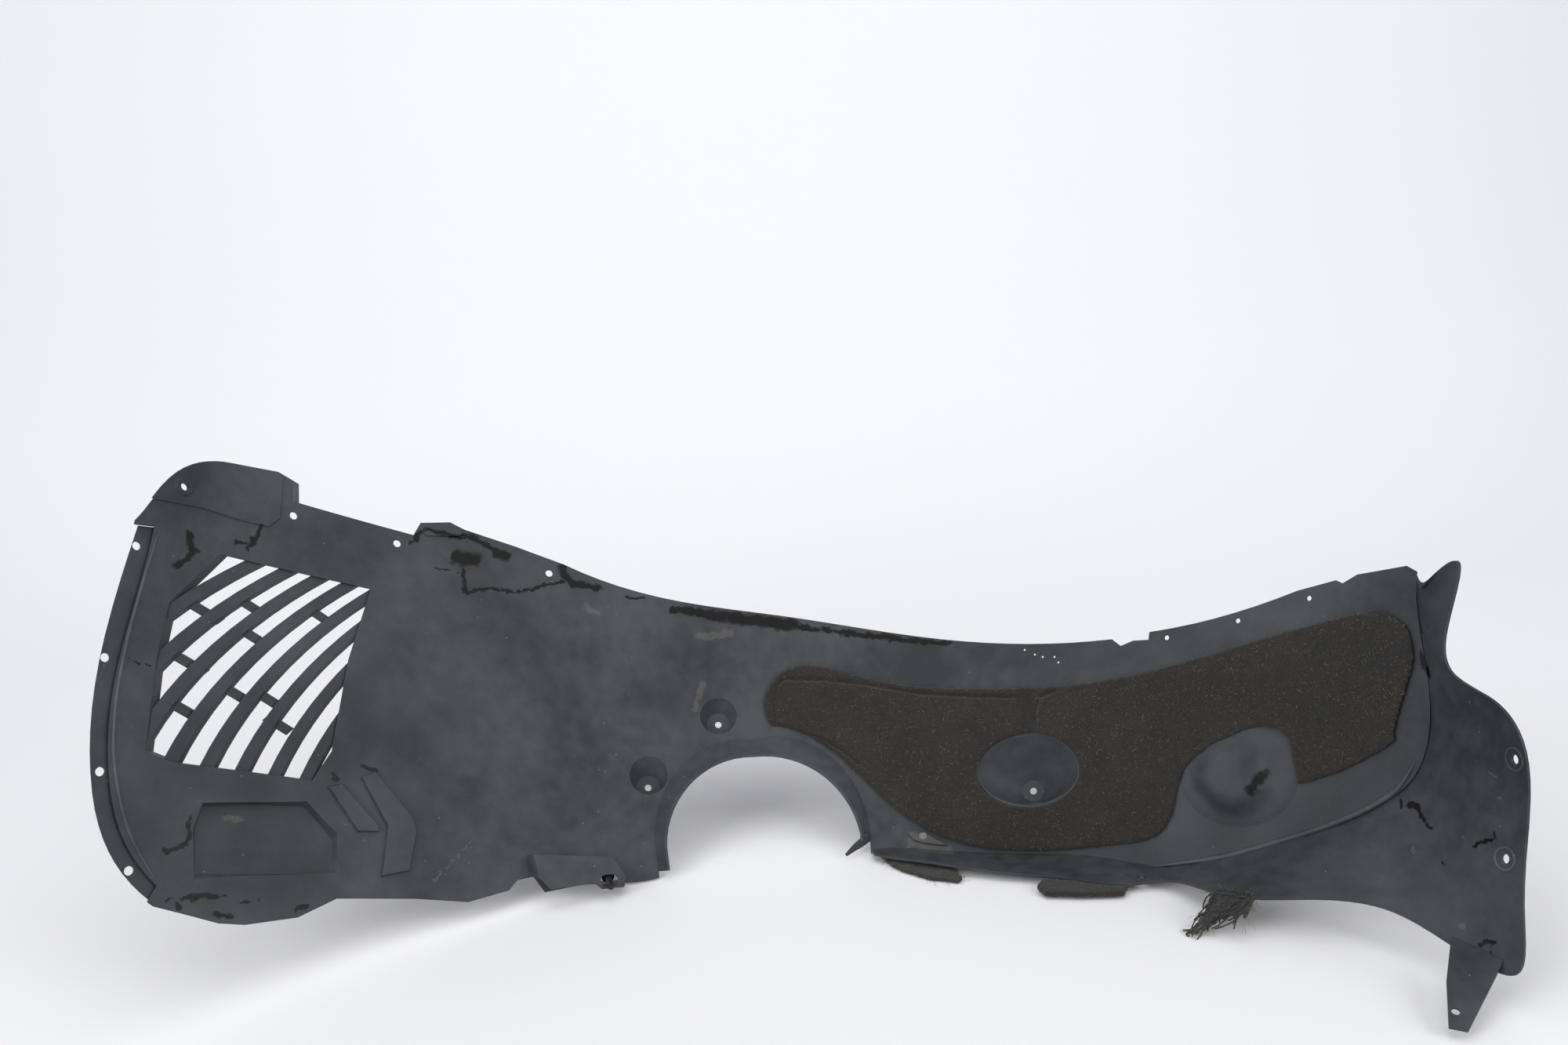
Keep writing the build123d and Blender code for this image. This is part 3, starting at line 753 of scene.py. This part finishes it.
def makeBulgeSkin(look):
    middle, normal = landing(look["middle"], shellTree)
    along = (Vector((1, 0, 0)) - normal * normal.x).normalized()
    across = normal.cross(along)
    bm = bmesh.new()
    bmesh.ops.create_grid(bm, x_segments=look["cells"][0], y_segments=look["cells"][1], size=1.0)
    bm.verts.ensure_lookup_table()
    bm.verts.index_update()
    flats = [along * (v.co.x * look["half"][0]) + across * (v.co.y * look["half"][1]) for v in bm.verts]
    rims = [falloff(1 - v.co.xy.length, look["rimWidth"]) for v in bm.verts]
    beside = [[edge.other_vert(v).index for edge in v.link_edges] for v in bm.verts]
    solid = []
    for flat in flats:
        start = middle + flat + normal * look["probe"]
        far = shellTree.ray_cast(start, -normal, look["reach"])[3]
        solid.append(look["missed"] if far is None else look["probe"] - far)
    heights = list(solid)
    for turn in range(look["spread"]):
        heights = [max([high] + [heights[n] for n in near]) for high, near in zip(heights, beside)]
    for turn in range(look["rounds"]):
        heights = [(high + sum(heights[n] for n in near)) / (1 + len(near))
                   for high, near in zip(heights, beside)]
    for vert, flat, rim, high, low in zip(bm.verts, flats, rims, heights, solid):
        lift = (high + look["cover"]) * (1 - rim) + (low - look["cover"]) * rim
        vert.co = middle + flat + normal * lift
    outside = [face for face in bm.faces if all(rims[v.index] > look["rimBar"] for v in face.verts)]
    bmesh.ops.delete(bm, geom=outside, context="FACES")
    bm.normal_update()
    bm.faces.ensure_lookup_table()
    if bm.faces[0].normal.dot(normal) < 0:
        bmesh.ops.reverse_faces(bm, faces=bm.faces)
    bmesh.ops.solidify(bm, geom=bm.faces[:], thickness=look["thickness"])
    mesh = bpy.data.meshes.new("bulgeSkin")
    bm.to_mesh(mesh)
    bm.free()
    mesh.materials.append(shellFinish)
    smoothShade(mesh)
    piece = link("bulgeSkin", mesh)
    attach(piece, "root")


makeBead("ridgeBead", ridgeBead)
makeBead("frontBead", frontBead)
makeConeRim(coneRim)
makeLipTongue(lipTongue)
makeHoleRings(holeRings)
makeBulgeSkin(bulgeSkin)
print("fine moulded forms made")


# loose fibres on the felt and at the torn ends
fibres = {
    "seed": 11,
    "steps": 3,  # straight lengths in a fibre
    "bow": 0.25,  # of the length, sideways
    "floorGap": 0.0008,  # metres, so that nothing goes into the floor
    "thickness": 0.00011,  # metres, thicker than the real fibre so that it shows
    "rounding": 0,
    "lift": 0.0005,
    "onFelt": 1100,
    "feltView": (965, 770, 1810, 1100),  # pixels between which the felt lies in the photograph
    "length": (0.0014, 0.0045),
    "onTuft": 130,
    "tuftSag": 0.006,
    "onFlap": 60,
    "flapSag": 0.002,
    "tornLength": (0.004, 0.012),
    "tornSpread": 0.8,
    "bundles": 46,
    "bundleThickness": 0.0006,
    "bundleRounding": 1,
    "bundleLength": (0.010, 0.022),
    "bundleSpread": 0.5,
    "bundleExtra": 0.004,  # metres past the tip
    "bundleLift": 0.002,
    "bundleSag": 0.002,
    "tipLean": 0.5,  # how much the tip is sought to the left, against down
}


def addFibre(curve, start, way, outward, length, lift, sag):
    spline = curve.splines.new("POLY")
    spline.points.add(fibres["steps"])
    bow = outward.cross(way).normalized() * random.uniform(-fibres["bow"], fibres["bow"]) * length
    for number, point in enumerate(spline.points):
        share = number / fibres["steps"]
        spot = start + way * length * share + bow * share * share
        spot += outward * lift * math.sin(math.pi * share) - Vector((0, 0, sag)) * share * share
        spot.z = max(spot.z, fibres["floorGap"])
        point.co = (*spot, 1.0)


def flatWay(outward):
    way = Vector((random.uniform(-1, 1), random.uniform(-1, 1), random.uniform(-1, 1)))
    return (way - outward * way.dot(outward)).normalized()


def makeFeltFibres(look):
    curve = newCurve("feltFibres")
    left, top, right, bottom = look["feltView"]
    feltTree = treeOf(feltPiece)
    while len(curve.splines) < look["onFelt"]:
        spot = (random.uniform(left, right), random.uniform(top, bottom))
        hit, normal = landing(spot, feltTree)
        blocked = landing(spot, shellTree)[0]
        if hit is None or (blocked and (blocked - hit).dot(normal) > 0):
            continue
        addFibre(curve, hit, flatWay(normal), normal, random.uniform(*look["length"]), look["lift"], 0.0)
    tubePiece(curve, look["thickness"], look["rounding"], fibreFinish)


def makeTornFibres(name, piece, count, look, sag):
    # strands that start on the piece's rim and carry on outwards
    curve = newCurve(name)
    middle = sum((vert.co for vert in piece.data.vertices), Vector()) / len(piece.data.vertices)
    rim = sorted(piece.data.vertices, key=lambda vert: -(vert.co - middle).length)
    for turn in range(count):
        vert = random.choice(rim[:len(rim) // 2])
        spread = flatWay(vert.normal) * look["tornSpread"]
        way = (vert.normal + spread + (vert.co - middle).normalized()).normalized()
        addFibre(curve, vert.co, way, vert.normal, random.uniform(*look["tornLength"]), look["lift"], sag)
    tubePiece(curve, look["thickness"], look["rounding"], fibreFinish)


def makeTuftBundles(look):
    # twisted bundles that run down the tuft to its tip
    curve = newCurve("tuftBundles")
    verts = tuftPiece.data.vertices
    tip = min((vert.co for vert in verts), key=lambda spot: spot.z + spot.x * look["tipLean"])
    for turn in range(look["bundles"]):
        vert = random.choice(verts)
        way = ((tip - vert.co).normalized() + flatWay(vert.normal) * look["bundleSpread"]).normalized()
        length = min(random.uniform(*look["bundleLength"]), (tip - vert.co).length + look["bundleExtra"])
        addFibre(curve, vert.co, way, vert.normal, length, look["bundleLift"], look["bundleSag"])
    tubePiece(curve, look["bundleThickness"], look["bundleRounding"], fleeceFinish)


random.seed(fibres["seed"])
makeFeltFibres(fibres)
makeTornFibres("tuftStrands", tuftPiece, fibres["onTuft"], fibres, fibres["tuftSag"])
makeTuftBundles(fibres)
makeTornFibres("flapStrands", flapPiece, fibres["onFlap"], fibres, fibres["flapSag"])
print("fibres laid")


# pale sweep of floor and backdrop, and soft light
stage = {
    "halfWidth": 6.0,
    "backdrop": 1.9,  # metres behind the liner
    "height": 4.0,
    "sweep": 1.0,
    "sweepSteps": 16,
    "floorPaint": "#dededf",
    "wallPaint": "#f3f3f4",
    "change": (-0.6, 1.6),  # metres in Y between which one paint passes into the other
    "roughness": 0.8,
    "edgeMatch": 1e-4,
}


def makeStage(look):
    mesh = bpy.data.meshes.new("paleSweep")
    bm = bmesh.new()
    bmesh.ops.create_grid(bm, x_segments=1, y_segments=1, size=look["halfWidth"])
    bmesh.ops.translate(bm, verts=bm.verts, vec=(0, look["backdrop"] - look["halfWidth"], 0))
    rear = [edge for edge in bm.edges
            if all(abs(v.co.y - look["backdrop"]) < look["edgeMatch"] for v in edge.verts)]
    wall = bmesh.ops.extrude_edge_only(bm, edges=rear)["geom"]
    wallTop = [v for v in wall if isinstance(v, bmesh.types.BMVert)]
    bmesh.ops.translate(bm, verts=wallTop, vec=(0, 0, look["height"]))
    bmesh.ops.bevel(bm, geom=rear, offset=look["sweep"], segments=look["sweepSteps"], profile=0.5,
                    affect="EDGES", material=-1)
    bmesh.ops.recalc_face_normals(bm, faces=bm.faces)
    bm.to_mesh(mesh)
    bm.free()
    smoothShade(mesh)
    material, tree, coords, shader = startMaterial("palePaint")
    depth = addNode(tree, "ShaderNodeSeparateXYZ", {"Vector": coords})
    share = addNode(tree, "ShaderNodeMapRange", {
        "Value": depth.outputs["Y"], "From Min": look["change"][0], "From Max": look["change"][1]})
    floorColour, wallColour = toLinear(look["floorPaint"]), toLinear(look["wallPaint"])
    colour = addNode(tree, "ShaderNodeMix", {
        0: share.outputs[0], 6: floorColour, 7: wallColour}, data_type="RGBA")
    tree.links.new(colour.outputs[2], shader.inputs["Base Color"])
    shader.inputs["Roughness"].default_value = look["roughness"]
    mesh.materials.append(material)
    link("paleSweep", mesh)


# each lamp: place, aim, size in metres, watts
lamps = {
    "topLamp": ((0.0, -0.4, 2.4), (0.0, 0.1, 0.0), 2.4, 22.0),
    "leftLamp": ((-2.0, -1.6, 1.5), (0.0, 0.0, 0.2), 1.6, 38.0),
    "rightLamp": ((2.0, -1.4, 1.3), (0.2, 0.0, 0.2), 1.6, 28.0),
}
studio = {"colour": (0.95, 0.96, 1.0, 1), "strength": 0.5}


def makeLamp(name, place, aim, size, watts):
    data = bpy.data.lights.new(name, "AREA")
    data.size = size
    data.energy = watts
    lamp = link(name, data)
    lamp.location = place
    lamp.rotation_euler = (Vector(aim) - Vector(place)).to_track_quat("-Z", "Y").to_euler()


def makeWorld(look):
    world = bpy.data.worlds.new("studio")
    bpy.context.scene.world = world
    world.use_nodes = True
    background = world.node_tree.nodes["Background"]
    background.inputs["Color"].default_value = look["colour"]
    background.inputs["Strength"].default_value = look["strength"]


makeStage(stage)
for name, (place, aim, size, watts) in lamps.items():
    makeLamp(name, place, aim, size, watts)
makeWorld(studio)
bpy.context.scene.view_settings.view_transform = "Standard"
print("stage lit")
